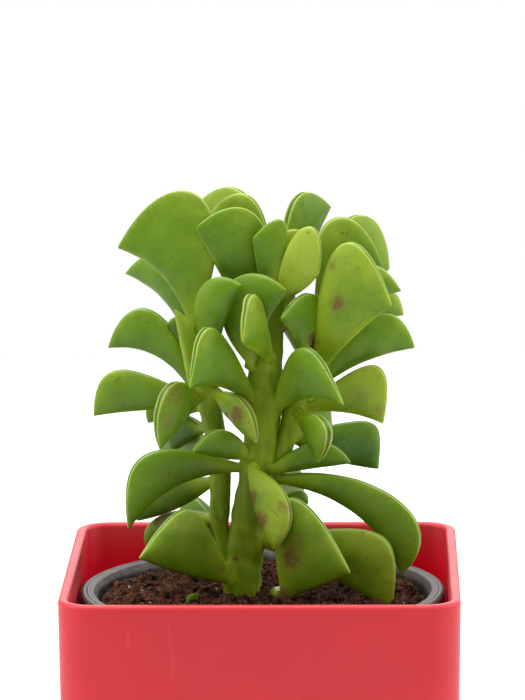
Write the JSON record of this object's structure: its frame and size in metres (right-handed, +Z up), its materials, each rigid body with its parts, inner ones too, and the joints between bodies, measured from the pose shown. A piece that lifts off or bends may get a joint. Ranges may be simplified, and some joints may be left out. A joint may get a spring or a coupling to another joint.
{
  "type": "potted peperomia",
  "caption": "Small potted succulent peperomia: folded, hatchet-shaped leaves on upright stems, in a round nursery pot that stands inside a square plastic planter.",
  "frame": {"origin": "centre of the planter's flat underside", "axes": "+Z up along the planter's height; +X and -Y square to the planter's sides, -Y towards the viewer of the picture"},
  "size_m": [0.084, 0.084, 0.1594],
  "materials": {
    "planter_plastic": "satin coral-red, softly moulded",
    "nursery_plastic": "thin dark grey plastic, slightly dusty",
    "soil": null,
    "stem": null,
    "leaf": null,
    "leaf_young": null
  },
  "bodies": {
    "root": {"front_shoot": "stem", "leaf_front_01": "leaf", "leaf_left_01": "leaf", "leaf_left_02": "leaf", "leaf_left_03": "leaf", "leaf_left_04": "leaf", "leaf_left_05": "leaf", "leaf_left_06": "leaf", "leaf_left_07": "leaf", "leaf_left_08": "leaf_young", "leaf_left_09": "leaf", "leaf_left_10": "leaf", "leaf_left_11": "leaf", "leaf_left_12": "leaf", "leaf_left_13": "leaf", "leaf_left_14": "leaf", "leaf_left_15": "leaf", "leaf_main_01": "leaf", "leaf_main_02": "leaf", "leaf_main_03": "leaf", "leaf_main_04": "leaf", "leaf_main_05": "leaf", "leaf_main_06": "leaf", "leaf_main_07": "leaf", "leaf_main_08": "leaf", "leaf_main_09": "leaf", "leaf_main_10": "leaf", "leaf_main_11": "leaf", "leaf_main_12": "leaf", "leaf_main_13": "leaf", "leaf_main_14": "leaf", "leaf_main_15": "leaf", "leaf_main_16": "leaf", "leaf_main_17": "leaf_young", "leaf_main_18": "leaf_young", "leaf_main_19": "leaf_young", "leaf_main_20": "leaf", "leaf_main_21": "leaf", "leaf_main_22": "leaf", "leaf_main_23": "leaf", "leaf_main_24": "leaf", "leaf_right_01": "leaf", "leaf_right_02": "leaf", "leaf_right_03": "leaf", "leaf_right_04": "leaf", "leaf_right_05": "leaf", "leaf_right_06": "leaf", "leaf_right_07": "leaf", "leaf_right_08": "leaf", "leaf_right_09": "leaf", "leaf_right_10": "leaf", "leaf_right_11": "leaf", "leaf_right_12": "leaf", "leaf_right_13": "leaf", "left_branch": "stem", "main_stem": "stem", "nursery_pot": "nursery_plastic", "planter": "planter_plastic", "potting_soil": "soil", "right_branch": "stem"}
  },
  "joints": []
}
